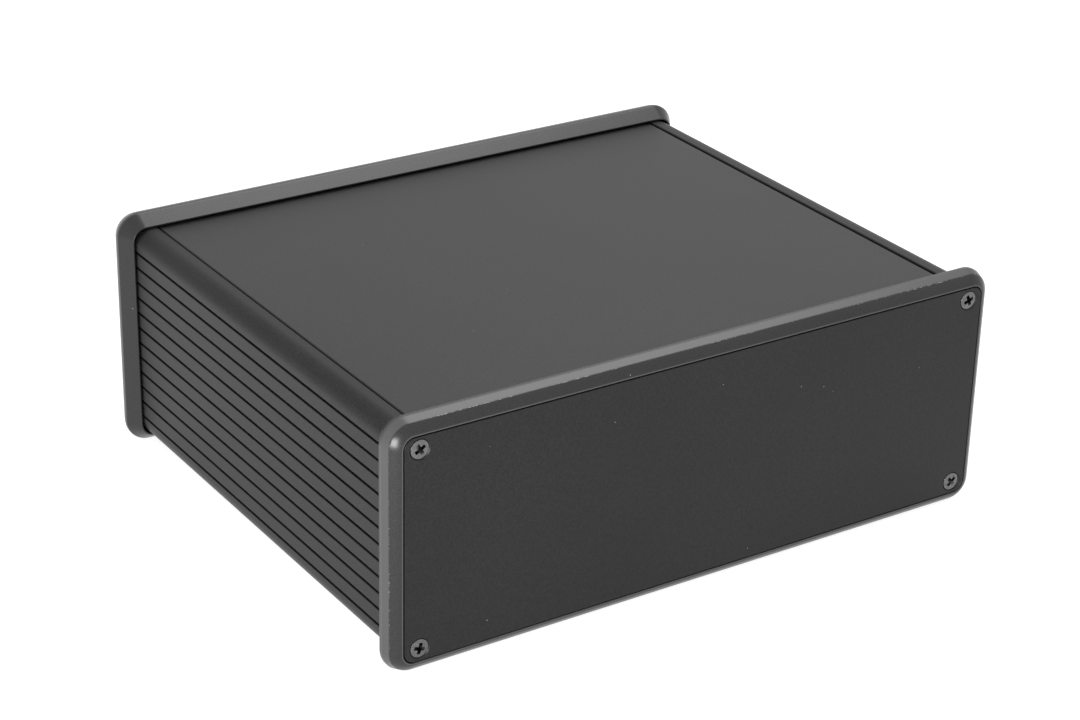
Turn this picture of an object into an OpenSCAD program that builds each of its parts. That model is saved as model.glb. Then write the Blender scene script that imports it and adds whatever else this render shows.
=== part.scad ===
// Extruded aluminium enclosure: two grooved side profiles carry a sliding top and
// bottom cover, and a die-cast bezel with a recessed flat panel closes each end.
// Frame: X width, Y depth with the front at -Y, Z up, origin under the middle at
// the level the bezels stand on. Millimetres.

/* [Body] */
// Width over the two side profiles
body_w = 196.4; // [150:1:260]
// Height of the side profiles
body_h = 68.4; // [64:0.2:90]
// Length of the side profiles and covers
body_l = 160; // [90:5:300]
// Thickness of the side wall behind the grooves' lands
wall_t = 2.6; // [2.2:0.1:3.6]
// Radius along the profiles' outer long edges
edge_r = 5; // [3:0.25:6]

/* [Cover slots] */
// Width of the lip that holds the edge of a cover
lip_w = 7.4; // [6.8:0.1:9]
// Thickness of the top and bottom covers
cover_t = 1.8; // [1.5:0.1:2.2]
// How far a cover's outer face lies below the lips
cover_drop = 0.25; // [0.1:0.05:0.5]
// Open joint between a lip and the cover's outer face
cover_gap = 0.6; // [0.3:0.1:1]
// Thickness of the tongue along each edge of a cover
tongue_t = 0.9; // [0.6:0.1:1.1]
// Reach of the tongue under the lip
tongue_in = 2.2; // [1.5:0.1:2.4]
// Running clearance of the tongue in its slot
slot_clear = 0.1; // [0.05:0.05:0.2]
// Thickness of the shelf under each cover edge
shelf_t = 1.2; // [1:0.1:2]
// How far the shelf reaches past the lip
shelf_past_lip = 3; // [1:0.5:6]
// Chamfer along the lips' and covers' outer edges
edge_chamfer = 0.3; // [0.1:0.05:0.4]

/* [Grooves] */
// Grooves in each side
groove_count = 12; // [4:1:12]
// Distance between grooves
groove_pitch = 5; // [3:0.1:5]
// Width of a groove at the surface
groove_w = 0.9; // [0.5:0.1:1.4]
// Width of a groove at its floor
groove_floor = 0.5; // [0.2:0.1:0.5]
// Depth of a groove
groove_depth = 0.8; // [0.4:0.1:1.2]

/* [Card guides] */
// Card guides inside each side profile
guide_count = 3; // [1:1:3]
// Distance between card guides
guide_pitch = 14; // [8:0.5:16]
// Width of the slot that takes a board's edge
guide_slot = 2; // [1.8:0.1:3]
// Thickness of each guide rib
guide_rib = 1.4; // [1:0.1:2]
// Reach of the guide ribs from the wall
guide_reach = 3; // [2:0.5:5]

/* [Bezels] */
// How far the panel recess lies inside the body's outline
recess_inset = 0.25; // [0:0.05:0.4]
// Corner radius of the panel recess
recess_r = 3.5; // [3:0.25:4.5]
// Thickness of the web between panel and body
web_t = 2.35; // [1.5:0.05:4]
// Width of the web inside the recess
web_w = 3.6; // [2:0.2:5]
// Size of the screw lug in each corner of the web
lug_w = 10; // [9:0.5:14]
// Outward reach of the sloping face, to the crisp edge
face_out = 3.05; // [2.5:0.05:3.5]
// Depth of the crisp edge behind the panel's face
face_depth = 2.15; // [1.5:0.05:2.6]
// Radius that rounds the sloping face into the recess
face_round = 1.8; // [1:0.1:2.4]
// Crown radius of the rest of the sloping face
face_crown = 7; // [5:0.5:12]
// Draft of the outer band, in degrees
band_draft = 20; // [16:1:24]
// Radius over the widest ridge
ridge_r = 2; // [1.8:0.1:2.4]
// Reach of the bezel from the recess to its widest line
bezel_out = 3.95; // [3.8:0.05:4.2]
// Width of the narrow land on the ridge that the enclosure stands on
land_w = 1.1; // [0.6:0.1:1.4]
// Depth of the bezel from the panel's face to the rim round the body
bezel_d = 10.4; // [9:0.1:14]
// Clearance between the rim and the body
rim_clear = 0.25; // [0.1:0.05:0.3]
// Thickness of the rim at its open end
rim_t = 0.45; // [0.3:0.05:0.6]

/* [Panels] */
// Thickness of the front and rear panels
panel_t = 2; // [1.5:0.1:3]
// Open joint between a panel and its recess
panel_gap = 0.4; // [0.2:0.05:0.6]

/* [Screws] */
// Distance of the screws from the body's sides
screw_in_x = 5.3; // [5:0.1:6]
// Distance of the screws from the body's top and bottom
screw_in_z = 4.35; // [4.3:0.05:5]
// Diameter of the screw channel's bore
bore_d = 2.6; // [2.4:0.1:2.8]
// Metal round the screw channel's bore
boss_wall = 1.4; // [1:0.1:1.8]
// Mouth along the screw channel
bore_mouth = 1.3; // [0.8:0.1:1.6]
// Clearance hole through panel and web
hole_d = 3.2; // [3:0.1:3.6]
// Diameter of the countersink at the panel's face
sink_d = 6.3; // [6:0.1:6.8]
// Diameter of the screw head
head_d = 5.5; // [5:0.1:5.8]
// Height of the raised head above its rim
head_rise = 0.3; // [0.2:0.05:0.8]
// Straight rim of the screw head
head_rim = 0.15; // [0.1:0.05:0.3]
// Length of the screw behind the panel's face
screw_l = 12; // [8:1:20]
// Radial clearance of the screw in its bore and seat
screw_clear = 0.05; // [0.02:0.01:0.1]
// Span of the cross recess
cross_span = 3; // [2:0.1:3.4]
// Width of the cross recess's arms
cross_arm = 0.75; // [0.5:0.05:1]
// Depth of the cross recess
cross_depth = 1.5; // [1:0.1:1.8]

/* [Hidden] */
$fn = 96;

// Recess and panel
recess_w = body_w - 2 * recess_inset;
recess_h = body_h - 2 * recess_inset;
panel_w = recess_w - 2 * panel_gap;
panel_h = recess_h - 2 * panel_gap;
panel_r = recess_r - panel_gap;

// Levels, from the ground and from the middle of the enclosure
mid_z = recess_h / 2 + bezel_out;
face_y = body_l / 2 + web_t + panel_t;
rim_u = recess_inset + rim_clear;

// Cover slots, measured from the middle of the body
lip_x = body_w / 2 - lip_w;
cover_top = body_h / 2 - cover_drop;
shelf_top = cover_top - cover_t;
slot_end = lip_x + tongue_in + 2 * slot_clear;

// Screws
screw_x = body_w / 2 - screw_in_x;
screw_z = body_h / 2 - screw_in_z;
shank_r = bore_d / 2 - screw_clear;
head_v = (sink_d - head_d) / 2 - screw_clear * sqrt(2);

// How far the web runs into the bezel's rim
web_lap = 0.5;

// Bezel section, the sloping face: two arcs that meet smoothly, the first from
// the recess wall and parallel to the panel there, the second to the crisp edge
face_edge = [face_out, face_depth];
round_c = [0, face_round];
centres = face_crown - face_round;
reach = norm(face_edge - round_c);
meet_a = acos((pow(reach, 2) + pow(centres, 2) - pow(face_crown, 2))
        / (2 * centres * reach)) - atan2(face_out, face_depth - face_round);
meet = round_c + face_round * [sin(meet_a), -cos(meet_a)];
crown_c = round_c + centres * [-sin(meet_a), cos(meet_a)];

// Bezel section, the ridge: a circle tangent to the drafted band and to a slope
// that ends at the rim round the body
ridge_u = bezel_out - sqrt(pow(ridge_r, 2) - pow(land_w / 2, 2));
ridge_v = face_depth
        + ((ridge_u - face_out) * cos(band_draft) + ridge_r) / sin(band_draft);
end_u = rim_u + rim_t;
end_dist = norm([end_u - ridge_u, bezel_d - ridge_v]);
back_a = atan2(bezel_d - ridge_v, end_u - ridge_u) - acos(ridge_r / end_dist);

function on_ridge(a, k = 1) =
    [ridge_u + k * ridge_r * cos(a), ridge_v + k * ridge_r * sin(a)];

// ---------- shapes ----------

module rounded_rect(w, h, r) {
    square([w - 2 * r, h], center = true);
    square([w, h - 2 * r], center = true);
    for (x = [-1, 1], y = [-1, 1])
        translate([x * (w / 2 - r), y * (h / 2 - r)]) circle(r);
}

// Lays a plan drawn in X and Z on the depth axis, v running towards +Y
module stand() rotate([-90, 0, 0]) children();

// Places a piece of the front end, drawn with v = 0 at the panel's face
module at_front() translate([0, -face_y, mid_z]) stand() children();

// The same for the rear end
module at_rear() translate([0, face_y, mid_z]) rotate([0, 0, 180]) stand() children();

module screw_spots() for (x = [-1, 1], y = [-1, 1])
    translate([x * screw_x, y * screw_z]) children();

// ---------- side profile ----------

module groove()
    polygon([
        [body_w / 2 - groove_depth, -groove_floor / 2],
        [body_w / 2, -groove_w / 2], [body_w / 2 + 1, -groove_w / 2],
        [body_w / 2 + 1, groove_w / 2], [body_w / 2, groove_w / 2],
        [body_w / 2 - groove_depth, groove_floor / 2]
    ]);

// Lip, slot, shelf and screw channel along the top edge
module slot_edge() difference() {
    union() {
        translate([lip_x, shelf_top - shelf_t])
            square([lip_w, body_h / 2 - shelf_top + shelf_t]);
        translate([lip_x - shelf_past_lip, shelf_top - shelf_t])
            square([shelf_past_lip + lip_w, shelf_t]);
        translate([screw_x, screw_z]) circle(bore_d / 2 + boss_wall);
        translate([screw_x, screw_z - bore_d / 2 - boss_wall])
            square([screw_in_x, bore_d + 2 * boss_wall]);
    }
    // Slot for the cover's tongue
    translate([lip_x - 1, shelf_top])
        square([slot_end - lip_x + 1, tongue_t + slot_clear]);
    // Chamfered arris of the lip
    translate([lip_x, body_h / 2]) rotate(45)
        square(edge_chamfer * sqrt(2), center = true);
    // Screw channel, open towards the inside
    translate([screw_x, screw_z]) {
        circle(bore_d / 2);
        rotate(225) translate([0, -bore_mouth / 2])
            square([bore_d + 2 * boss_wall, bore_mouth]);
    }
}

module side_section() intersection() {
    rounded_rect(body_w, body_h, edge_r);
    difference() {
        union() {
            translate([body_w / 2 - wall_t, -shelf_top])
                square([wall_t, 2 * shelf_top]);
            slot_edge();
            mirror([0, 1]) slot_edge();
            for (i = [0 : guide_count - 1], s = [-1, 1])
                translate([
                    body_w / 2 - wall_t - guide_reach,
                    (i - (guide_count - 1) / 2) * guide_pitch
                    + s * (guide_slot + guide_rib) / 2 - guide_rib / 2
                ])
                    square([guide_reach + wall_t - groove_depth, guide_rib]);
        }
        for (i = [0 : groove_count - 1])
            translate([0, (i - (groove_count - 1) / 2) * groove_pitch]) groove();
    }
}

module side_profile()
    translate([0, 0, mid_z]) rotate([90, 0, 0])
        linear_extrude(height = body_l, center = true) side_section();

module right_side_profile() color([0.17, 0.17, 0.18]) side_profile();

module left_side_profile() color([0.17, 0.17, 0.18]) mirror([1, 0, 0]) side_profile();

// ---------- covers ----------

module cover_section() {
    half = lip_x - cover_gap;
    c = edge_chamfer;
    polygon([
        [-half, shelf_top], [half, shelf_top], [half, cover_top - c],
        [half - c, cover_top], [c - half, cover_top], [-half, cover_top - c]
    ]);
    translate([-lip_x - tongue_in, shelf_top])
        square([2 * (lip_x + tongue_in), tongue_t]);
}

module cover()
    rotate([90, 0, 0]) linear_extrude(height = body_l, center = true) cover_section();

module top_cover() color([0.18, 0.18, 0.19]) translate([0, 0, mid_z]) cover();

module bottom_cover() color([0.18, 0.18, 0.19])
    translate([0, 0, mid_z]) mirror([0, 0, 1]) cover();

// ---------- bezels ----------

// The part of a disc that stands proud of the chord from a to b
module crown(a, b, c, r) intersection() {
    n = [(b - a).y, -(b - a).x] / norm(b - a);
    translate(c) circle(r);
    polygon([a, b, b + n, a + n]);
}

// Cross-section of the bezel's rim: u runs outward from the recess wall, v back
// from the panel's face
module rim_section() difference() {
    union() {
        polygon([
            [0, 0], meet, face_edge, on_ridge(-band_draft), on_ridge(back_a),
            [end_u, bezel_d], [rim_u, bezel_d], [rim_u, panel_t + web_t],
            [0, panel_t + web_t]
        ]);
        crown([0, 0], meet, round_c, face_round);
        crown(meet, face_edge, crown_c, face_crown);
        // Rounded ridge
        intersection() {
            translate([ridge_u, ridge_v]) circle(ridge_r);
            polygon([
                [ridge_u, ridge_v], on_ridge(-band_draft, 2),
                on_ridge((back_a - band_draft) / 2, 3), on_ridge(back_a, 2)
            ]);
        }
    }
    translate([bezel_out, 0]) square([2 * ridge_r, bezel_d]);
}

module rim() {
    for (s = [0 : 3]) {
        along = s % 2 == 0 ? recess_h : recess_w;
        across = s % 2 == 0 ? recess_w : recess_h;
        rotate(90 * s) {
            translate([across / 2, 0, 0]) rotate([90, 0, 0])
                linear_extrude(height = along - 2 * recess_r, center = true)
                    rim_section();
            translate([across / 2 - recess_r, along / 2 - recess_r, 0])
                rotate_extrude(angle = 90) translate([recess_r, 0]) rim_section();
        }
    }
}

// Flat web between panel and body, with a screw lug in each corner
module web() translate([0, 0, panel_t]) linear_extrude(height = web_t) difference() {
    rounded_rect(recess_w + 2 * web_lap, recess_h + 2 * web_lap, recess_r + web_lap);
    difference() {
        rounded_rect(recess_w - 2 * web_w, recess_h - 2 * web_w, recess_r);
        for (x = [-1, 1], y = [-1, 1])
            translate([x * recess_w / 2, y * recess_h / 2])
                rounded_rect(2 * lug_w, 2 * lug_w, 2);
    }
    screw_spots() circle(hole_d / 2);
}

module bezel() {
    rim();
    web();
}

module front_bezel() color([0.2, 0.2, 0.21]) at_front() bezel();

module rear_bezel() color([0.2, 0.2, 0.21]) at_rear() bezel();

// ---------- panels ----------

module panel() difference() {
    linear_extrude(height = panel_t) rounded_rect(panel_w, panel_h, panel_r);
    screw_spots() {
        translate([0, 0, -1]) cylinder(d = hole_d, h = panel_t + 2);
        translate([0, 0, -0.5])
            cylinder(d1 = sink_d + 1, d2 = hole_d, h = (sink_d + 1 - hole_d) / 2);
    }
}

module front_panel() color([0.15, 0.15, 0.16]) at_front() panel();

module rear_panel() color([0.15, 0.15, 0.16]) at_rear() panel();

// ---------- screws ----------

// Raised countersunk screw with a cross recess, head towards -v
module screw() difference() {
    head_r = head_d / 2;
    dome_r = (pow(head_r, 2) + pow(head_rise, 2)) / (2 * head_rise);
    union() {
        translate([0, 0, head_v]) cylinder(r1 = head_r, r2 = shank_r, h = head_r - shank_r);
        translate([0, 0, head_v - head_rim]) cylinder(r = head_r, h = head_rim);
        intersection() {
            translate([0, 0, head_v - head_rim - head_rise + dome_r]) sphere(dome_r);
            translate([0, 0, head_v - head_rim - head_rise])
                cylinder(r = head_r, h = head_rise);
        }
        translate([0, 0, head_v]) cylinder(r = shank_r, h = screw_l - head_v);
    }
    // Tapering cross recess
    translate([0, 0, head_v - head_rim - head_rise]) intersection() {
        cylinder(r1 = cross_span / 2, r2 = cross_arm / 2, h = cross_depth);
        for (a = [0, 90]) rotate(a)
            translate([0, 0, cross_depth / 2])
                cube([cross_span + 1, cross_arm, cross_depth + 1], center = true);
    }
}

// One screw in a corner: sx and sz are the sides it is on, turn its recess's angle
module corner_screw(sx, sz, turn)
    translate([sx * screw_x, -sz * screw_z, 0]) rotate(turn) screw();

module front_screw(i) color([0.62, 0.62, 0.63]) at_front()
    corner_screw([-1, 1, 1, -1][i], [1, 1, -1, -1][i], [60, 70, 48, 15][i]);

module rear_screw(i) color([0.62, 0.62, 0.63]) at_rear()
    corner_screw([-1, 1, 1, -1][i], [1, 1, -1, -1][i], [55, 8, 33, 76][i]);

left_side_profile();
right_side_profile();
top_cover();
bottom_cover();
front_bezel();
rear_bezel();
front_panel();
rear_panel();
front_screw(0);  // front_screw_1
front_screw(1);  // front_screw_2
front_screw(2);  // front_screw_3
front_screw(3);  // front_screw_4
rear_screw(0);  // rear_screw_1
rear_screw(1);  // rear_screw_2
rear_screw(2);  // rear_screw_3
rear_screw(3);  // rear_screw_4
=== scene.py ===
"""Looks of a black extruded aluminium enclosure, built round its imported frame."""

import logging
import math
from dataclasses import dataclass, field
from enum import Enum

import bmesh
import bpy
from mathutils import Euler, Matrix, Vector
from mathutils.geometry import delaunay_2d_cdt


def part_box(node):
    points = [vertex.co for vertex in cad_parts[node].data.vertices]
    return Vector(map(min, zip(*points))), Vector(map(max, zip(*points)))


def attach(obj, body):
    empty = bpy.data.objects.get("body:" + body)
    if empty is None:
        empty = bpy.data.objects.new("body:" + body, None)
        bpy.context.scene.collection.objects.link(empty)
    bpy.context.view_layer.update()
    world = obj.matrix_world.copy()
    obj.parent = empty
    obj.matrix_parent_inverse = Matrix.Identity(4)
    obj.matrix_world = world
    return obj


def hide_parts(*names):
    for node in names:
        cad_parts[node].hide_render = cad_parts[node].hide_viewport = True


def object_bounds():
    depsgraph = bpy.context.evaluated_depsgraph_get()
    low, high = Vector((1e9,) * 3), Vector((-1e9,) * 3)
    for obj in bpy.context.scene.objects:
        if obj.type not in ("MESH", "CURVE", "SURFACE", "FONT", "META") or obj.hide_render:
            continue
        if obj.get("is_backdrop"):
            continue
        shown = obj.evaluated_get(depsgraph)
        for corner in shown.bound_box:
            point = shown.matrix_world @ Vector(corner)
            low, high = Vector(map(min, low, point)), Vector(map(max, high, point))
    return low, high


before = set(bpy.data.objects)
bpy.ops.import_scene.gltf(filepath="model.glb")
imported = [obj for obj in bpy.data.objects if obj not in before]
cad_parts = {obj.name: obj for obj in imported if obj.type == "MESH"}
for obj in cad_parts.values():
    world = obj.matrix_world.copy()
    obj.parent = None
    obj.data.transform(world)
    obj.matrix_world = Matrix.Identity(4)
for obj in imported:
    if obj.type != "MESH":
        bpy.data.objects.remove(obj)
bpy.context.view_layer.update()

log = logging.getLogger("enclosure")

MM = 0.001
WELD = 1e-7
ON_PLANE = 1e-6
Point2 = tuple[float, float]
Loop2 = list[Point2]


class End(Enum):
    """The two ends of the enclosure, and the way each one faces along Y."""

    FRONT = -1
    REAR = 1


class Slot(Enum):
    """The record's material slots."""

    PROFILE = "ribbed_profile"
    COVER = "cover"
    BEZEL = "bezel"
    PANEL = "panel"
    SCREW = "screw"


# ---------------------------------------------------------------- plane shapes


def arc(centre: Point2, radius: float, start: float, stop: float, steps: int) -> Loop2:
    """Points along an arc.

    Args:
        centre: centre of the arc.
        radius: its radius.
        start: first angle, in degrees.
        stop: last angle, in degrees.
        steps: number of chords.

    Returns:
        The points, both ends included.
    """
    turn = [math.radians(start + (stop - start) * i / steps) for i in range(steps + 1)]
    return [
        (centre[0] + radius * math.cos(a), centre[1] + radius * math.sin(a))
        for a in turn
    ]


def rounded_rect(half_w: float, half_h: float, radius: float, steps: int) -> Loop2:
    """A rectangle with round corners, anticlockwise from its lower right.

    Args:
        half_w: half its width.
        half_h: half its height.
        radius: corner radius.
        steps: chords in each corner.

    Returns:
        The closed outline without a repeated point.
    """
    loop: Loop2 = []
    for quarter, (sx, sy) in enumerate(((1, -1), (1, 1), (-1, 1), (-1, -1))):
        centre = (sx * (half_w - radius), sy * (half_h - radius))
        loop += arc(centre, radius, 90 * quarter - 90, 90 * quarter, steps)
    return loop


def soften(loop: Loop2, radius: float, least_turn: float, steps: int = 3) -> Loop2:
    """Rounds the sharp corners of a closed outline.

    Args:
        loop: the outline.
        radius: radius given to each sharp corner, less where its sides are short.
        least_turn: turns smaller than this many degrees are left alone.
        steps: chords in each rounded corner.

    Returns:
        The rounded outline.
    """
    out: Loop2 = []
    count = len(loop)
    for i, here in enumerate(loop):
        p, a, b = Vector(here), Vector(loop[i - 1]), Vector(loop[(i + 1) % count])
        back, ahead = a - p, b - p
        opening = back.angle(ahead, math.pi)
        if math.degrees(math.pi - opening) < least_turn:
            out.append(here)
            continue
        half = opening / 2
        cut = min(radius / math.tan(half), 0.45 * back.length, 0.45 * ahead.length)
        r = cut * math.tan(half)
        middle = p + (back.normalized() + ahead.normalized()).normalized() * (
            r / math.sin(half)
        )
        first, last = p + back.normalized() * cut, p + ahead.normalized() * cut
        start, sweep = first - middle, (first - middle).angle_signed(last - middle)
        for k in range(steps + 1):
            a_k = -sweep * k / steps
            c, s = math.cos(a_k), math.sin(a_k)
            out.append(
                (
                    middle.x + start.x * c - start.y * s,
                    middle.y + start.x * s + start.y * c,
                )
            )
    return out


def section_of(node: str) -> Loop2:
    """The cross-section of an extruded node, read at its rear end.

    Args:
        node: name of a node extruded along Y.

    Returns:
        Its outline as (x, z) points in metres.
    """
    end_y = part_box(node)[1][1]
    mesh = bmesh.new()
    mesh.from_mesh(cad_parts[node].data)
    bmesh.ops.remove_doubles(mesh, verts=mesh.verts, dist=ON_PLANE)
    cap = {
        face for face in mesh.faces
        if all(abs(v.co.y - end_y) < ON_PLANE for v in face.verts)
    }
    follow: dict[int, list[int]] = {}
    for edge in mesh.edges:
        if sum(f in cap for f in edge.link_faces) == 1:
            one, two = (v.index for v in edge.verts)
            follow.setdefault(one, []).append(two)
            follow.setdefault(two, []).append(one)
    mesh.verts.ensure_lookup_table()
    start = min(follow)
    order, here, before = [start], follow[start][0], start
    while here != start:
        order.append(here)
        here, before = next(n for n in follow[here] if n != before), here
    outline = [(mesh.verts[i].co.x, mesh.verts[i].co.z) for i in order]
    mesh.free()
    return outline


# ---------------------------------------------------------------- mesh making


class Shell:
    """Collects vertices, faces, an edge-wear mask and a mask of painted sheen, and makes
    one object.
    """

    def __init__(self) -> None:
        """Starts an empty shell."""
        self.verts: list[Vector] = []
        self.wear: list[float] = []
        # Mask of the painted sheen and painted highlight on a bezel's band.
        self.band: list[float] = []
        self.faces: list[list[int]] = []

    def ring(self, points: list[Vector], wear: float = 0.0,
             band: float = 0.0) -> list[int]:
        """Adds points and returns their numbers.

        Args:
            points: the points.
            wear: edge-wear value of all of them.
            band: how far they carry the painted sheen and painted highlight of a bezel's
                band.

        Returns:
            One number for each point.
        """
        first = len(self.verts)
        self.verts += points
        self.wear += [wear] * len(points)
        self.band += [band] * len(points)
        return list(range(first, first + len(points)))

    def bridge(self, one: list[int], two: list[int]) -> None:
        """Joins two closed rings of equal length with four-sided faces.

        Args:
            one: the first ring.
            two: the second ring.
        """
        count = len(one)
        for i in range(count):
            j = (i + 1) % count
            self.faces.append([one[i], one[j], two[j], two[i]])

    def fill(self, rings: list[list[int]]) -> None:
        """Fills flat rings that lie across Y, leaving out their holes.

        Args:
            rings: the outline and the rings of its holes.
        """
        numbers = [i for ring in rings for i in ring]
        flat = [Vector((self.verts[i].x, self.verts[i].z)) for i in numbers]
        edges, first = [], 0
        for ring in rings:
            count = len(ring)
            edges += [(first + i, first + (i + 1) % count) for i in range(count)]
            first += count
        _, _, faces, origin, _, _ = delaunay_2d_cdt(flat, edges, [], 0, 1e-9)
        sides = [(flat[i], flat[j]) for i, j in edges]
        for face in faces:
            corners = [origin[i][0] for i in face]
            mid = sum((flat[i] for i in corners), Vector((0, 0))) / len(corners)
            crossed = sum(
                (a.y > mid.y) != (b.y > mid.y)
                and mid.x < a.x + (b.x - a.x) * (mid.y - a.y) / (b.y - a.y)
                for a, b in sides
            )
            if crossed % 2:
                self.faces.append([numbers[i] for i in corners])

    def mesh(self, name: str) -> bpy.types.Mesh:
        """Makes a closed mesh with its two masks.

        Args:
            name: name of the mesh.

        Returns:
            The mesh.
        """
        data = bpy.data.meshes.new(name)
        data.from_pydata(self.verts, [], self.faces)
        # edge_wear marks arrises for chips; band carries the painted sheen and painted
        # highlight of a bezel.
        for label, values in (("edge_wear", self.wear), ("band", self.band)):
            mask = data.attributes.new(label, "FLOAT", "POINT")
            mask.data.foreach_set("value", values)
        mesh = bmesh.new()
        mesh.from_mesh(data)
        bmesh.ops.remove_doubles(mesh, verts=mesh.verts, dist=WELD)
        bmesh.ops.recalc_face_normals(mesh, faces=mesh.faces)
        mesh.to_mesh(data)
        mesh.free()
        return data

    @staticmethod
    def _carved(body: bpy.types.Mesh, tool: bpy.types.Mesh) -> bpy.types.Mesh:
        """Cuts one mesh out of another.

        Args:
            body: mesh that is cut.
            tool: mesh that is taken away; it is removed afterwards.

        Returns:
            The cut mesh.
        """
        pair = [bpy.data.objects.new(m.name, m) for m in (body, tool)]
        for piece in pair:
            bpy.context.scene.collection.objects.link(piece)
        cut = pair[0].modifiers.new("recess", "BOOLEAN")
        cut.operation, cut.solver, cut.object = "DIFFERENCE", "EXACT", pair[1]
        seen = pair[0].evaluated_get(bpy.context.evaluated_depsgraph_get())
        result = bpy.data.meshes.new_from_object(seen)
        for piece in pair:
            bpy.data.objects.remove(piece)
        bpy.data.meshes.remove(tool)
        return result

    def make(self, name: str, material: bpy.types.Material,
             sharp: float = 35.0, tool: "Shell | None" = None) -> bpy.types.Object:
        """Makes the object, shades it and fastens it to the frame's body.

        Args:
            name: name of the piece.
            material: its material.
            sharp: edges that turn more than this many degrees stay sharp.
            tool: shell of what is cut out of it, if anything.

        Returns:
            The new object.
        """
        data = self.mesh(name)
        if tool is not None:
            data = self._carved(data, tool.mesh(f"{name}_recess"))
        data.shade_smooth()
        data.set_sharp_from_angle(angle=math.radians(sharp))
        data.materials.append(material)
        piece = bpy.data.objects.new(name, data)
        bpy.context.scene.collection.objects.link(piece)
        shading = piece.modifiers.new("flat faces stay flat", "WEIGHTED_NORMAL")
        shading.keep_sharp = True
        shading.weight = 100
        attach(piece, "root")
        log.info("%s: %d faces", name, len(data.polygons))
        return piece


# ---------------------------------------------------------------- finishes


def wire(tree: bpy.types.NodeTree, source: object, target: object) -> None:
    """Links one socket to another.

    Args:
        tree: tree that holds both.
        source: output socket.
        target: input socket.
    """
    tree.links.new(source, target)


class Effects(Enum):
    """The shader node groups that the finishes share."""

    GRAIN = "fine grain"
    DRAWN = "drawn lines"
    SPECKS = "dust specks"
    CHIPS = "edge chips"


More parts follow.
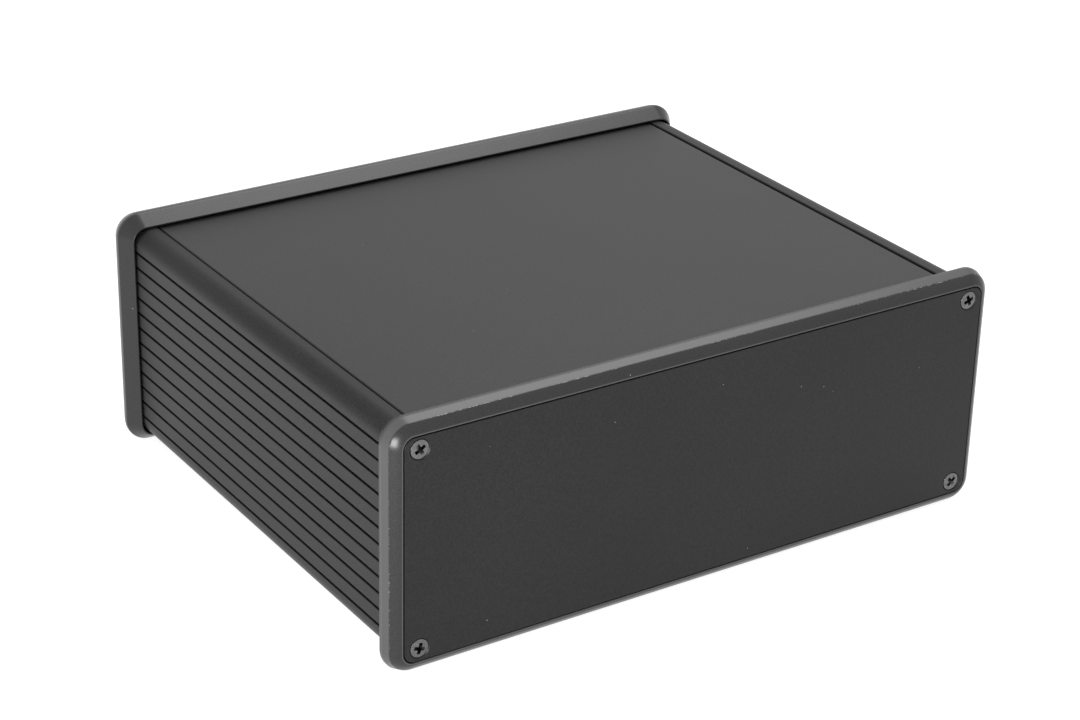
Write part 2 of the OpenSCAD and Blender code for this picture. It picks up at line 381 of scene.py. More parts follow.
class EffectGroups:
    """Builds each shared effect once, as a shader node group."""

    chip_edge = 25.0
    speck_spacing = 4.0

    def __init__(self) -> None:
        """Makes every group."""
        self.made = {
            Effects.GRAIN: self._grain(),
            Effects.DRAWN: self._drawn(),
            Effects.SPECKS: self._specks(),
            Effects.CHIPS: self._chips(),
        }

    @staticmethod
    def _start(effect: Effects, inputs: dict[str, float], outputs: list[str]) -> tuple:
        """Makes a group with number inputs and outputs.

        Args:
            effect: which effect it is.
            inputs: name and default value of each input.
            outputs: name of each output.

        Returns:
            The tree, its input node, its output node and object coordinates.
        """
        tree = bpy.data.node_groups.new(effect.value, "ShaderNodeTree")
        for name, value in inputs.items():
            socket = tree.interface.new_socket(
                name, in_out="INPUT", socket_type="NodeSocketFloat"
            )
            socket.default_value = value
        for name in outputs:
            tree.interface.new_socket(
                name, in_out="OUTPUT", socket_type="NodeSocketFloat"
            )
        source = tree.nodes.new("NodeGroupInput")
        target = tree.nodes.new("NodeGroupOutput")
        place = tree.nodes.new("ShaderNodeTexCoord").outputs["Object"]
        return tree, source, target, place

    @staticmethod
    def _noise(tree: bpy.types.NodeTree, place: object, scale: float,
               detail: float) -> bpy.types.Node:
        """Adds a noise texture at the given place.

        Args:
            tree: tree that it goes into.
            place: vector socket.
            scale: scale of the noise.
            detail: octaves of detail.

        Returns:
            The texture node.
        """
        noise = tree.nodes.new("ShaderNodeTexNoise")
        noise.inputs["Scale"].default_value = scale
        noise.inputs["Detail"].default_value = detail
        wire(tree, place, noise.inputs["Vector"])
        return noise

    @staticmethod
    def combine(tree: bpy.types.NodeTree, kind: str, one: object, two: object,
                clamp: bool = False) -> object:
        """Adds a math node and returns its output.

        Args:
            tree: tree that it goes into.
            kind: operation.
            one: first socket or number.
            two: second socket or number.
            clamp: whether the result is kept between 0 and 1.

        Returns:
            The output socket.
        """
        node = tree.nodes.new("ShaderNodeMath")
        node.operation = kind
        node.use_clamp = clamp
        for socket, value in zip(node.inputs, (one, two)):
            if isinstance(value, (int, float)):
                socket.default_value = value
            else:
                wire(tree, value, socket)
        return node.outputs[0]

    def _grain(self) -> bpy.types.NodeTree:
        """Blasted or coated surface: a fine height and a slow tone change."""
        tree, source, target, place = self._start(
            Effects.GRAIN, {"Scale": 1500.0}, ["Height", "Tone"]
        )
        fine = self._noise(tree, place, 1500.0, 3.0)
        wire(tree, source.outputs["Scale"], fine.inputs["Scale"])
        broad = self._noise(tree, place, 22.0, 2.0)
        wire(tree, fine.outputs["Fac"], target.inputs["Height"])
        wire(tree, broad.outputs["Fac"], target.inputs["Tone"])
        return tree

    def _drawn(self) -> bpy.types.NodeTree:
        """Faint lines left by the extrusion die, along Y."""
        tree, source, target, place = self._start(
            Effects.DRAWN, {"Across": 900.0, "Along": 6.0}, ["Height"]
        )
        stretch = tree.nodes.new("ShaderNodeCombineXYZ")
        for axis, name in zip("XYZ", ("Across", "Along", "Across")):
            wire(tree, source.outputs[name], stretch.inputs[axis])
        scaled = tree.nodes.new("ShaderNodeVectorMath")
        scaled.operation = "MULTIPLY"
        wire(tree, place, scaled.inputs[0])
        wire(tree, stretch.outputs[0], scaled.inputs[1])
        lines = self._noise(tree, scaled.outputs[0], 1.0, 2.0)
        wire(tree, lines.outputs["Fac"], target.inputs["Height"])
        return tree

    def _specks(self) -> bpy.types.NodeTree:
        """Small dust specks, more in some places than in others."""
        tree, source, target, place = self._start(
            Effects.SPECKS, {"Spacing": self.speck_spacing, "Size": 0.1, "Share": 0.3},
            ["Mask"]
        )
        cells = tree.nodes.new("ShaderNodeTexVoronoi")
        wire(tree, place, cells.inputs["Vector"])
        pitch = self.combine(tree, "DIVIDE", 1000.0, source.outputs["Spacing"])
        wire(tree, pitch, cells.inputs["Scale"])
        away = self.combine(
            tree, "MULTIPLY", cells.outputs["Distance"], source.outputs["Spacing"]
        )
        near = self.combine(tree, "LESS_THAN", away, source.outputs["Size"])
        split = tree.nodes.new("ShaderNodeSeparateColor")
        wire(tree, cells.outputs["Color"], split.inputs[0])
        chosen = self.combine(
            tree, "LESS_THAN", split.outputs[0], source.outputs["Share"]
        )
        both = self.combine(tree, "MULTIPLY", near, chosen)
        faint = self.combine(tree, "MULTIPLY", both, split.outputs[1])
        wire(tree, faint, target.inputs["Mask"])
        return tree

    def _chips(self) -> bpy.types.NodeTree:
        """Tiny chips and rubbed spots where the mesh marks an arris."""
        tree, source, target, place = self._start(
            Effects.CHIPS, {"Scale": 700.0, "Level": 0.6}, ["Mask"]
        )
        arris = tree.nodes.new("ShaderNodeAttribute")
        arris.attribute_name = "edge_wear"
        small = self._noise(tree, place, 700.0, 2.0)
        wire(tree, source.outputs["Scale"], small.inputs["Scale"])
        patch = self._noise(tree, place, 60.0, 1.0)
        mixed = self.combine(
            tree, "ADD",
            self.combine(tree, "MULTIPLY", small.outputs["Fac"], 0.65),
            self.combine(tree, "MULTIPLY", patch.outputs["Fac"], 0.35),
        )
        kept = self.combine(tree, "MULTIPLY", mixed, arris.outputs["Fac"])
        over = self.combine(tree, "SUBTRACT", kept, source.outputs["Level"])
        mask = self.combine(tree, "MULTIPLY", over, self.chip_edge, True)
        wire(tree, mask, target.inputs["Mask"])
        return tree

    def place(self, tree: bpy.types.NodeTree, effect: Effects,
              values: dict[str, float]) -> bpy.types.Node:
        """Puts an effect into a material.

        Args:
            tree: the material's tree.
            effect: which effect.
            values: values for its inputs.

        Returns:
            The group node.
        """
        node = tree.nodes.new("ShaderNodeGroup")
        node.node_tree = self.made[effect]
        for name, value in values.items():
            node.inputs[name].default_value = value
        return node


@dataclass(frozen=True)
class Finish:
    """A surface finish of the enclosure.

    Args:
        name: name of the material.
        tone: grey level of the surface.
        roughness: its roughness.
        metallic: 1 for bare metal.
        specular: specular level.
        grain_scale: fineness of the grain.
        grain_depth: height of the grain, in millimetres.
        drawn_depth: height of the drawn lines, in millimetres.
        tone_change: how far the tone wanders over the surface.
        fleck: how strongly the grain shows in the tone.
        speck_share: share of the cells that hold a dust speck.
        chip_level: how sound the arrises are; 1 has no chips.
        band_tone: grey level of the painted sheen on a bezel's outer band and of the
            painted highlight on its inner arris, or 0.
        band_roughness: roughness of that band.
        roughness_change: how far the roughness goes up and down.
        speck_size: radius of a dust speck, in millimetres.
        speck_tone: grey level of a speck.
        chip_scale: fineness of the chips.
        chip_tone: grey level of a chip.
    """

    name: str
    tone: float
    roughness: float
    metallic: float = 0.0
    specular: float = 0.5
    grain_scale: float = 1500.0
    grain_depth: float = 0.01
    drawn_depth: float = 0.0
    tone_change: float = 0.15
    fleck: float = 0.85
    speck_share: float = 0.0
    chip_level: float = 1.0
    band_tone: float = 0.0
    band_roughness: float = 0.32
    roughness_change: float = 0.02
    speck_size: float = 0.14
    speck_tone: float = 0.42
    chip_scale: float = 1500.0
    chip_tone: float = 0.5

    def material(self, groups: EffectGroups) -> bpy.types.Material:
        """Builds the material.

        Args:
            groups: the shared effects.

        Returns:
            The material.
        """
        made = bpy.data.materials.new(self.name)
        made.use_nodes = True
        tree = made.node_tree
        shader = tree.nodes["Principled BSDF"]
        shader.inputs["Metallic"].default_value = self.metallic
        shader.inputs["Specular IOR Level"].default_value = self.specular

        grain = groups.place(tree, Effects.GRAIN, {"Scale": self.grain_scale})
        wander = self.tone * self.tone_change
        tones = self._spread(tree, grain.outputs["Tone"], 0.2, self.tone, wander)
        flecks = self._spread(tree, grain.outputs["Height"], 0.15, 1, self.fleck)
        tone = EffectGroups.combine(tree, "MULTIPLY", tones, flecks)
        colour = tree.nodes.new("ShaderNodeCombineColor")
        for channel in colour.inputs:
            wire(tree, tone, channel)
        base = colour.outputs[0]
        roughness = self._spread(tree, grain.outputs["Height"], 0.2, self.roughness,
                                 self.roughness_change)

        if self.speck_share > 0:
            specks = groups.place(tree, Effects.SPECKS, {
                "Spacing": EffectGroups.speck_spacing, "Size": self.speck_size,
                "Share": self.speck_share})
            base = self._over(tree, base, self.speck_tone, specks.outputs["Mask"])
        # Painted sheen and painted highlight: a lighter grey laid on the bezel's band
        # where its mask says.
        if self.band_tone > 0:
            band = tree.nodes.new("ShaderNodeAttribute")
            band.attribute_name = "band"
            base = self._over(tree, base, self.band_tone, band.outputs["Fac"])
            dull = tree.nodes.new("ShaderNodeMix")
            dull.inputs["B"].default_value = self.band_roughness
            wire(tree, band.outputs["Fac"], dull.inputs["Factor"])
            wire(tree, roughness, dull.inputs["A"])
            roughness = dull.outputs["Result"]
        if self.chip_level < 1:
            chips = groups.place(
                tree, Effects.CHIPS,
                {"Scale": self.chip_scale, "Level": self.chip_level})
            base = self._over(tree, base, self.chip_tone, chips.outputs["Mask"])
        wire(tree, base, shader.inputs["Base Color"])
        wire(tree, roughness, shader.inputs["Roughness"])

        bump = tree.nodes.new("ShaderNodeBump")
        bump.inputs["Strength"].default_value = 1.0
        bump.inputs["Distance"].default_value = self.grain_depth * MM
        wire(tree, grain.outputs["Height"], bump.inputs["Height"])
        if self.drawn_depth > 0:
            drawn = groups.place(tree, Effects.DRAWN, {})
            lines = tree.nodes.new("ShaderNodeBump")
            lines.inputs["Distance"].default_value = self.drawn_depth * MM
            wire(tree, drawn.outputs["Height"], lines.inputs["Height"])
            wire(tree, lines.outputs[0], bump.inputs["Normal"])
        wire(tree, bump.outputs[0], shader.inputs["Normal"])
        return made

    @staticmethod
    def _spread(tree: bpy.types.NodeTree, value: object, reach: float,
                middle: float, change: float) -> object:
        """Spreads the middle of a noise over a range of values.

        Args:
            tree: the material's tree.
            value: noise socket, from 0 to 1.
            reach: how far either side of a half the noise counts.
            middle: value at a half.
            change: how far the value goes up and down from there.

        Returns:
            The socket of the new value.
        """
        spread = tree.nodes.new("ShaderNodeMapRange")
        spread.inputs["From Min"].default_value = 0.5 - reach
        spread.inputs["From Max"].default_value = 0.5 + reach
        spread.inputs["To Min"].default_value = middle - change
        spread.inputs["To Max"].default_value = middle + change
        wire(tree, value, spread.inputs["Value"])
        return spread.outputs[0]

    @staticmethod
    def _over(tree: bpy.types.NodeTree, under: object, tone: float,
              mask: object) -> object:
        """Lays a grey over a colour where a mask says.

        Args:
            tree: the material's tree.
            under: colour socket below.
            tone: grey laid over it.
            mask: mask socket.

        Returns:
            The mixed colour socket.
        """
        mix = tree.nodes.new("ShaderNodeMix")
        mix.data_type = "RGBA"
        wire(tree, mask, mix.inputs["Factor"])
        wire(tree, under, mix.inputs["A"])
        mix.inputs["B"].default_value = (tone, tone, tone, 1.0)
        return mix.outputs["Result"]


ANODISED_PROFILE = Finish("anodised profile", 0.006, 0.42, specular=0.25,
                          drawn_depth=0.004, speck_share=0.05)
ANODISED_COVER = Finish("anodised cover", 0.008, 0.36, specular=0.3,
                        drawn_depth=0.002, speck_share=0.1)
ANODISED_PANEL = Finish("anodised panel", 0.007, 0.42, specular=0.3,
                        grain_scale=2200.0, fleck=0.6, speck_share=0.12)
# band_tone here paints sheen on the bezel's outer band and a highlight on its inner arris.
COATED_CASTING = Finish("coated casting", 0.012, 0.28, grain_scale=3500.0,
                        grain_depth=0.0012, speck_share=0.25, chip_level=0.53,
                        band_tone=0.06, fleck=0.45)
PLATED_STEEL = Finish("plated steel", 0.14, 0.26, metallic=1.0, grain_depth=0.004,
                      tone_change=0.08, fleck=0.15)


# ---------------------------------------------------------------- pieces


@dataclass
class ExtrudedPiece:
    """A side profile or a cover: one section drawn out along Y.

    Args:
        node: the frame's node that it stands for.
        slot: its material slot; not used.
        arris: radius of its fine edges, in millimetres.
    """

    node: str
    slot: Slot
    arris: float = 0.12

    def build(self, material: bpy.types.Material) -> None:
        """Builds the piece from its node's own section.

        Args:
            material: its material.
        """
        low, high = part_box(self.node)
        section = soften(section_of(self.node), self.arris * MM, 25.0)
        shell = Shell()
        ends = [
            shell.ring([Vector((x, y, z)) for x, z in section])
            for y in (low[1], high[1])
        ]
        shell.bridge(*ends)
        for end in ends:
            shell.fill([end])
        piece = shell.make(f"{self.node}_finished", material)
        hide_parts(self.node)


@dataclass(frozen=True)
class Seat:
    """Where an end part sits: its half sizes and its outer face.

    Args:
        way: the way the end faces along Y.
        face: Y of its outer face, in metres.
        back: Y of its inner face, in metres.
        mid_z: Z of its middle, in metres.
        half_w: half its width, in metres.
        half_h: half its height, in metres.
    """

    way: int
    face: float
    back: float
    mid_z: float
    half_w: float
    half_h: float

    @classmethod
    def of(cls, node: str, end: End) -> "Seat":
        """Reads the seat of a node.

        Args:
            node: the frame's node.
            end: the end that it belongs to.

        Returns:
            The seat.
        """
        low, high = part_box(node)
        ends = (high[1], low[1]) if end is End.REAR else (low[1], high[1])
        return cls(end.value, *ends, (low[2] + high[2]) / 2,
                   (high[0] - low[0]) / 2, (high[2] - low[2]) / 2)

    def at(self, x: float, z: float, v: float) -> Vector:
        """A point of this end, in metres.

        Args:
            x: across, from the middle, in metres.
            z: up, from the middle, in metres.
            v: back from the outer face, in millimetres.

        Returns:
            The point in the frame.
        """
        return Vector((x, self.face - self.way * v * MM, self.mid_z + z))

    def loop(self, shell: Shell, points: Loop2, v: float, wear: float = 0.0,
             band: float = 0.0) -> list[int]:
        """Adds a loop of points at one depth.

        Args:
            shell: shell that it goes into.
            points: (x, z) points from the middle, in metres.
            v: back from the outer face, in millimetres.
            wear: edge-wear value.
            band: how far the loop carries the band's painted sheen and painted highlight.

        Returns:
            The numbers of the new points.
        """
        return shell.ring([self.at(x, z, v) for x, z in points], wear, band)


@dataclass
class Bezel:
    """A cast frame swept round the panel, with the web that carries the screws.

    All sizes are in millimetres. The section's u runs outward from the recess,
    v back from the panel's face.
    """

    end: End
    recess_r: float = 3.5
    face_out: float = 3.05
    face_depth: float = 2.15
    face_round: float = 1.8
    face_crown: float = 7.0
    band_draft: float = 20.0
    ridge_r: float = 2.0
    land_w: float = 1.1
    bezel_out: float = 3.95
    depth: float = 10.4
    rim_u: float = 0.5
    rim_t: float = 0.45
    panel_t: float = 2.0
    web_t: float = 2.35
    web_w: float = 3.6
    lug_w: float = 10.0
    lug_r: float = 2.0
    web_lap: float = 0.2
    screw_in: Point2 = (5.05, 4.1)
    hole_r: float = 1.6
    arris: float = 0.12
    wear_reach: float = 0.35
    # Bounds of the painted sheen on the outer band and of the painted highlight on the
    # inner arris.
    band_end: float = 4.9
    inner_reach: float = 0.36

    @property
    def node(self) -> str:
        """Name of the node that this bezel stands for."""
        return f"{self.end.name.lower()}_bezel"

    def section(self) -> list[tuple[float, float, float]]:
        """Outline of the rim, as (u, v, wear) from the recess wall outward."""
        centres = self.face_crown - self.face_round
        rise = self.face_depth - self.face_round
        reach = math.hypot(self.face_out, rise)
        meet = math.degrees(
            math.acos(
                (reach**2 + centres**2 - self.face_crown**2) / (2 * centres * reach)
            )
            - math.atan2(self.face_out, rise)
        )
        crown = (
            -centres * math.sin(math.radians(meet)),
            self.face_round + centres * math.cos(math.radians(meet)),
        )
        last = math.degrees(
            math.atan2(self.face_depth - crown[1], self.face_out - crown[0])
        )
        ridge_u = self.bezel_out - math.sqrt(self.ridge_r**2 - (self.land_w / 2) ** 2)
        draft = math.radians(self.band_draft)
        ridge_v = self.face_depth + (
            (ridge_u - self.face_out) * math.cos(draft) + self.ridge_r
        ) / math.sin(draft)
        end_u = self.rim_u + self.rim_t
        away = math.hypot(end_u - ridge_u, self.depth - ridge_v)
        back = math.degrees(
            math.atan2(self.depth - ridge_v, end_u - ridge_u)
            - math.acos(self.ridge_r / away)
        )
        land = math.degrees(math.asin(self.land_w / 2 / self.ridge_r))
        band_end = (
            ridge_u + self.ridge_r * math.cos(draft),
            ridge_v - self.ridge_r * math.sin(draft),
        )
        near = self.wear_reach / math.hypot(
            band_end[0] - self.face_out, band_end[1] - self.face_depth
        )
        face = arc((0, self.face_round), self.face_round, -90, meet - 90, 6)
        face += arc(crown, self.face_crown, meet - 90, last, 12)[1:]
        before_edge = face[-2]
        outline = [(u, v, 0.0) for u, v in face[:-1]]
        step = self.wear_reach / math.dist(before_edge, face[-1])
        outline.append(
            (
                self.face_out + (before_edge[0] - self.face_out) * min(step, 0.9),
                self.face_depth + (before_edge[1] - self.face_depth) * min(step, 0.9),
                0.0,
            )
        )
        outline.append((self.face_out, self.face_depth, 1.0))
        outline.append(
            (
                self.face_out + (band_end[0] - self.face_out) * near,
                self.face_depth + (band_end[1] - self.face_depth) * near,
                0.0,
            )
        )
        ridge = arc((ridge_u, ridge_v), self.ridge_r, -self.band_draft, -land, 4)
        ridge += arc((ridge_u, ridge_v), self.ridge_r, land, back, 5)
        outline += [(u, v, 0.0) for u, v in ridge]
        outline += [
            (end_u, self.depth, 0.0),
            (self.rim_u, self.depth, 0.0),
            (self.rim_u, self.panel_t + self.web_t, 0.0),
            (0.0, self.panel_t + self.web_t, 0.0),
        ]
        return outline

    def softened(self) -> list[tuple[float, float, float]]:
        """The section with its sharp corners slightly rounded."""
        raw = self.section()
        edge = (self.face_out, self.face_depth)
        out = []
        for u, v in soften([(u, v) for u, v, _ in raw], self.arris, 18.0):
            away = math.dist((u, v), edge)
            out.append((u, v, max(0.0, 1.0 - away / self.wear_reach)))
        return out

    def build(self, material: bpy.types.Material) -> None:
        """Builds the rim and its web as one piece.

        Args:
            material: its material.
        """
        seat = Seat.of(self.node, self.end)
        half_w = seat.half_w - self.bezel_out * MM
        half_h = seat.half_h - self.bezel_out * MM
        shell = Shell()
        rings = []
        for u, v, wear in self.softened():
            path = rounded_rect(
                half_w + u * MM, half_h + u * MM, (self.recess_r + u) * MM, 14
            )
            # Painted sheen on the outer band and a painted highlight on the inner arris,
            # laid through the band mask.
            outer_band_sheen = u > self.face_out and self.face_depth < v < self.band_end
            inner = u < self.inner_reach and v < self.inner_reach
            band = 1.0 if outer_band_sheen or inner else 0.0
            rings.append(seat.loop(shell, path, v, wear, band))
        for one, two in zip(rings, rings[1:] + rings[:1]):
            shell.bridge(one, two)
        self._web(shell, seat, half_w, half_h)
        piece = shell.make(f"{self.node}_finished", material)
        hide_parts(self.node)

    def _web(self, shell: Shell, seat: Seat, half_w: float, half_h: float) -> None:
        """Adds the web behind the panel.

        Args:
            shell: shell that it goes into.
            seat: where the bezel sits.
            half_w: half the recess's width, in metres.
            half_h: half the recess's height, in metres.
        """
        lap = self.web_lap
        outer = rounded_rect(half_w + lap * MM, half_h + lap * MM,
                             (self.recess_r + lap) * MM, 8)
        inner = self._web_opening(half_w, half_h)
        spots = [(sx * (half_w - self.screw_in[0] * MM),
                  sz * (half_h - self.screw_in[1] * MM))
                 for sx in (-1, 1) for sz in (-1, 1)]
        circles = [arc(spot, self.hole_r * MM, 0, 360, 24)[:-1] for spot in spots]
        sides = []
        for v in (self.panel_t, self.panel_t + self.web_t):
            rings = [seat.loop(shell, loop, v) for loop in (outer, inner, *circles)]
            sides.append(rings)
            shell.fill(rings)
        for one, two in zip(*sides):
            shell.bridge(one, two)

    def _web_opening(self, half_w: float, half_h: float) -> Loop2:
        """The web's inner outline, stepped round its corner lugs."""
        web, lug = self.web_w * MM, self.lug_w * MM
        loop: Loop2 = []
        for sx, sz in ((1, 1), (-1, 1), (-1, -1), (1, -1)):
            corner = [
                (sx * (half_w - web), sz * (half_h - lug)),
                (sx * (half_w - lug), sz * (half_h - lug)),
                (sx * (half_w - lug), sz * (half_h - web)),
            ]
            loop += corner if sx * sz > 0 else corner[::-1]
        return soften(loop, self.lug_r * MM, 60.0, 5)


@dataclass
class Panel:
    """A flat end panel with four countersunk holes. Sizes are in millimetres."""

    end: End
    corner_r: float = 3.1
    screw_in: Point2 = (4.65, 3.7)
    hole_r: float = 1.6
    sink_r: float = 3.15
    arris: float = 0.15
    sink_arris: float = 0.08

    @property
    def node(self) -> str:
        """Name of the node that this panel stands for."""
        return f"{self.end.name.lower()}_panel"

    def build(self, material: bpy.types.Material) -> None:
        """Builds the panel.

        Args:
            material: its material.
        """
        seat = Seat.of(self.node, self.end)
        thick = abs(seat.back - seat.face) / MM
        shell = Shell()
        turned = [
            (self.arris * (1 - math.sin(a)), self.arris * (1 - math.cos(a)))
            for a in (math.radians(30 * k) for k in range(4))
        ]
        edge = [
            seat.loop(shell, rounded_rect(seat.half_w - cut * MM,
                                          seat.half_h - cut * MM,
                                          (self.corner_r - cut) * MM, 12), down)
            for cut, down in [*turned, (0.0, thick)]
        ]
        for one, two in zip(edge, edge[1:]):
            shell.bridge(one, two)
        fronts, backs = [], []
        steps = [
            (self.sink_r + self.sink_arris, 0.0),
            (self.sink_r, self.sink_arris * 0.6),
            (self.hole_r, self.sink_r - self.hole_r + self.sink_arris * 0.6),
            (self.hole_r, thick),
        ]
        for sx in (-1, 1):
            for sz in (-1, 1):
                spot = (sx * (seat.half_w - self.screw_in[0] * MM),
                        sz * (seat.half_h - self.screw_in[1] * MM))
                rings = [seat.loop(shell, arc(spot, r * MM, 0, 360, 48)[:-1], v)
                         for r, v in steps]
                for one, two in zip(rings, rings[1:]):
                    shell.bridge(one, two)
                fronts.append(rings[0])
                backs.append(rings[-1])
        shell.fill([edge[0], *fronts])
        shell.fill([edge[-1], *backs])
        piece = shell.make(f"{self.node}_finished", material)
        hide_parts(self.node)


@dataclass
class Screw:
    """A countersunk screw with a cross recess. Sizes are in millimetres.

    Args:
        end: end of the enclosure that it holds.
        number: its number on that end.
        turn: turn of its recess, in degrees.
    """

    end: End
    number: int
    turn: float
    head_r: float = 2.75
    head_rise: float = 0.3
    head_rim: float = 0.15
    shank_r: float = 1.25
    tip: float = 0.4
    arris: float = 0.1
    cross_span: float = 3.2
    cross_arm: float = 1.05
    cross_depth: float = 1.9
    cross_taper: float = 0.5
    axis: Point2 = field(init=False, default=(0.0, 0.0))
    top: float = field(init=False, default=0.0)

    @property
    def node(self) -> str:
        """Name of the node that this screw stands for."""
        return f"{self.end.name.lower()}_screw_{self.number}"

    def place(self, r: float, angle: float, v: float) -> Vector:
        """A point of the screw, from its radius, angle and depth.

        Args:
            r: distance from the axis, in millimetres.
            angle: angle about the axis, in degrees.
            v: back from the top of the head, in millimetres.

        Returns:
            The point in the frame, in metres.
        """
        turn = math.radians(angle)
        across = -self.end.value * r * math.cos(turn) * MM
        return Vector(
            (
                self.axis[0] + across,
                self.top - self.end.value * v * MM,
                self.axis[1] - r * math.sin(turn) * MM,
            )
        )

    def profile(self, length: float) -> list[Point2]:
        """Outline of the turned blank, as (r, v) from the head to the tip.

        Args:
            length: its length, in millimetres.

        Returns:
            The points, without those on the axis.
        """
        dome_r = (self.head_r**2 + self.head_rise**2) / (2 * self.head_rise)
        half = math.degrees(math.asin(self.head_r / dome_r))
        dome = arc((0, dome_r), dome_r, half - 90, -88, 8)[::-1]
        rim = self.head_rise + self.head_rim
        blank = [
            *dome,
            (self.head_r, rim),
            (self.shank_r, rim + self.head_r - self.shank_r),
            (self.shank_r, length - self.tip),
            (self.shank_r - self.tip, length),
        ]
        closed = [(0.0, 0.0), *blank, (0.0, length)]
        return [p for p in soften(closed, self.arris, 22.0) if p[0] > ON_PLANE]

    def recess(self) -> Shell:
        """The tapering cross that is cut out of the head."""
        shell = Shell()
        rings = []
        for v, share in ((-0.5, 1.25), (self.cross_depth, self.cross_taper)):
            span = self.cross_span / 2 * share
            arm = self.cross_arm / 2 * (0.55 + 0.45 * share)
            loop = []
            for quarter in range(4):
                for x, y in ((arm, arm), (span, arm), (span, -arm)):
                    loop.append((math.hypot(x, y),
                                 math.degrees(math.atan2(y, x)) - 90 * quarter))
            rings.append(shell.ring([self.place(r, self.turn + a, v)
                                     for r, a in loop]))
        shell.bridge(*rings)
        shell.faces += [rings[0], rings[1][::-1]]
        return shell

    def build(self, material: bpy.types.Material) -> None:
        """Builds the screw.

        Args:
            material: its material.
        """
        seat = Seat.of(self.node, self.end)
        low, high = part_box(self.node)
        self.axis = ((low[0] + high[0]) / 2, (low[2] + high[2]) / 2)
        self.top = seat.face
        length = abs(seat.back - seat.face) / MM
        shell = Shell()
        rings = [
            shell.ring([self.place(r, 360 * k / 48, v) for k in range(48)])
            for r, v in self.profile(length)
        ]
        for one, two in zip(rings, rings[1:]):
            shell.bridge(one, two)
        shell.faces += [rings[0][::-1], rings[-1]]
        piece = shell.make(f"{self.node}_finished", material,
                           tool=self.recess())
        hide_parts(self.node)


# Turn of each screw's recess, in degrees.
RECESS_TURNS = {End.FRONT: (60, 70, 48, 15), End.REAR: (55, 8, 33, 76)}


# ---------------------------------------------------------------- studio


@dataclass(frozen=True)
class Lamp:
    """A square lamp near the enclosure.

    Args:
        name: its name.
        place: where it hangs, in metres.
        size: length of its side, in metres.
        power: its power, in watts.
    """

    name: str
    place: tuple[float, float, float]
    size: float
    power: float

    def hang(self, aim: Vector) -> None:
        """Hangs the lamp.

        Args:
            aim: point that it looks at.
        """
        data = bpy.data.lights.new(self.name, "AREA")
        data.size = self.size
        data.energy = self.power
        lamp = bpy.data.objects.new(self.name, data)
        lamp.location = self.place
        look = aim - Vector(self.place)
        lamp.rotation_euler = look.to_track_quat("-Z", "Y").to_euler()
        bpy.context.scene.collection.objects.link(lamp)


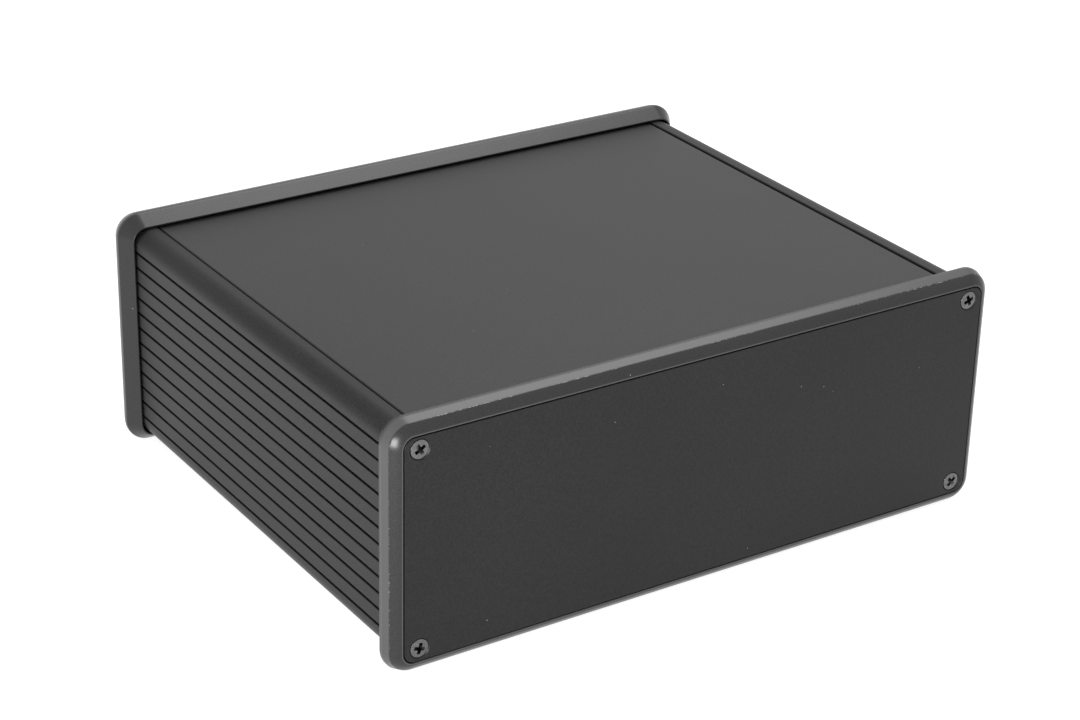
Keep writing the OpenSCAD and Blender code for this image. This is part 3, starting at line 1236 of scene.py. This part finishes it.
@dataclass
class Studio:
    """Pale floor, plain pale room, lamps and camera.

    Args:
        floor_half: half the floor's side, in metres.
        floor_tone: grey level of the floor.
        floor_seen: glow of the floor that the background's rays see.
        room: level of the room's light, where 1 is white.
        lens: focal length, in millimetres.
        eye: the camera's place, in metres.
        turn: the camera's turn about X, Y and Z, in degrees.
        lamps: the lamps.
    """

    floor_half: float = 6.0
    floor_tone: float = 0.56
    floor_seen: float = 0.8
    room: float = 0.6
    lens: float = 90.15
    eye: tuple[float, float, float] = (-0.40950, -0.61619, 0.38790)
    turn: tuple[float, float, float] = (64.575, -1.228, -32.983)
    lamps: tuple[Lamp, ...] = (
        Lamp("front left lamp", (-0.56, -0.4, 0.14), 0.3, 4.5),
        Lamp("high back lamp", (0.26, 0.18, 0.66), 0.4, 1.6),
    )

    def build(self) -> None:
        """Builds the floor, the room, the lamps and the camera."""
        self._floor()
        self._world()
        middle = Vector((0, 0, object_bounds()[1][2] / 2))
        for lamp in self.lamps:
            lamp.hang(middle)
        self._camera()

    def _floor(self) -> None:
        """Lays the floor at the level that the enclosure stands on."""
        half = self.floor_half
        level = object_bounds()[0][2]
        data = bpy.data.meshes.new("floor")
        data.from_pydata(
            [(-half, -half, level), (half, -half, level),
             (half, half, level), (-half, half, level)], [], [(0, 1, 2, 3)])
        made = bpy.data.materials.new("pale floor")
        made.use_nodes = True
        tree = made.node_tree
        tree.nodes.clear()
        diffuse = tree.nodes.new("ShaderNodeBsdfDiffuse")
        diffuse.inputs["Color"].default_value = (*[self.floor_tone] * 3, 1)
        path = tree.nodes.new("ShaderNodeLightPath")
        shine = EffectGroups.combine(
            tree, "MULTIPLY", self._sees_background(tree, path), self.floor_seen)
        glow = tree.nodes.new("ShaderNodeEmission")
        wire(tree, shine, glow.inputs["Strength"])
        both = tree.nodes.new("ShaderNodeAddShader")
        wire(tree, diffuse.outputs[0], both.inputs[0])
        wire(tree, glow.outputs[0], both.inputs[1])
        out = tree.nodes.new("ShaderNodeOutputMaterial")
        wire(tree, both.outputs[0], out.inputs["Surface"])
        data.materials.append(made)
        floor = bpy.data.objects.new("floor", data)
        bpy.context.scene.collection.objects.link(floor)
        floor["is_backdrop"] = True

    @staticmethod
    def _sees_background(tree: bpy.types.NodeTree, path: bpy.types.Node) -> object:
        """Picks the rays that show the pale background.

        Args:
            tree: tree that the nodes go into.
            path: its light path node.

        Returns:
            A socket with 1 for camera, glossy and transmission rays, else 0.
        """
        seen: object = path.outputs["Is Camera Ray"]
        for ray in ("Is Glossy Ray", "Is Transmission Ray"):
            seen = EffectGroups.combine(tree, "MAXIMUM", path.outputs[ray], seen)
        return seen

    def _world(self) -> None:
        """A plain room that the camera, metal and glass see as white."""
        world = bpy.data.worlds.new("studio")
        bpy.context.scene.world = world
        world.use_nodes = True
        tree = world.node_tree
        back = tree.nodes["Background"]
        back.inputs["Color"].default_value = (1, 1, 1, 1)
        path = tree.nodes.new("ShaderNodeLightPath")
        mix = tree.nodes.new("ShaderNodeMix")
        wire(tree, self._sees_background(tree, path), mix.inputs["Factor"])
        mix.inputs["A"].default_value = self.room
        mix.inputs["B"].default_value = 1.0
        wire(tree, mix.outputs["Result"], back.inputs["Strength"])

    def _camera(self) -> None:
        """Sets up the camera."""
        data = bpy.data.cameras.new("camera")
        data.lens = self.lens
        data.sensor_width = 36.0
        data.clip_start = 0.01
        camera = bpy.data.objects.new("camera", data)
        camera.location = self.eye
        camera.rotation_euler = Euler([math.radians(a) for a in self.turn], "XYZ")
        bpy.context.scene.collection.objects.link(camera)
        bpy.context.scene.camera = camera
        bpy.context.scene.view_settings.view_transform = "Standard"


# ---------------------------------------------------------------- enclosure


def main() -> None:
    """Builds every piece in order."""
    logging.basicConfig(level=logging.INFO, format="%(message)s")
    groups = EffectGroups()
    profile = ANODISED_PROFILE.material(groups)
    cover = ANODISED_COVER.material(groups)
    for side in ("left", "right"):
        ExtrudedPiece(f"{side}_side_profile", Slot.PROFILE).build(profile)
    for side in ("top", "bottom"):
        ExtrudedPiece(f"{side}_cover", Slot.COVER).build(cover)
    casting = COATED_CASTING.material(groups)
    sheet = ANODISED_PANEL.material(groups)
    steel = PLATED_STEEL.material(groups)
    for end in End:
        Bezel(end).build(casting)
        Panel(end).build(sheet)
        for number, turn in enumerate(RECESS_TURNS[end], 1):
            Screw(end, number, turn).build(steel)
    Studio().build()


if __name__ == "__main__":
    main()
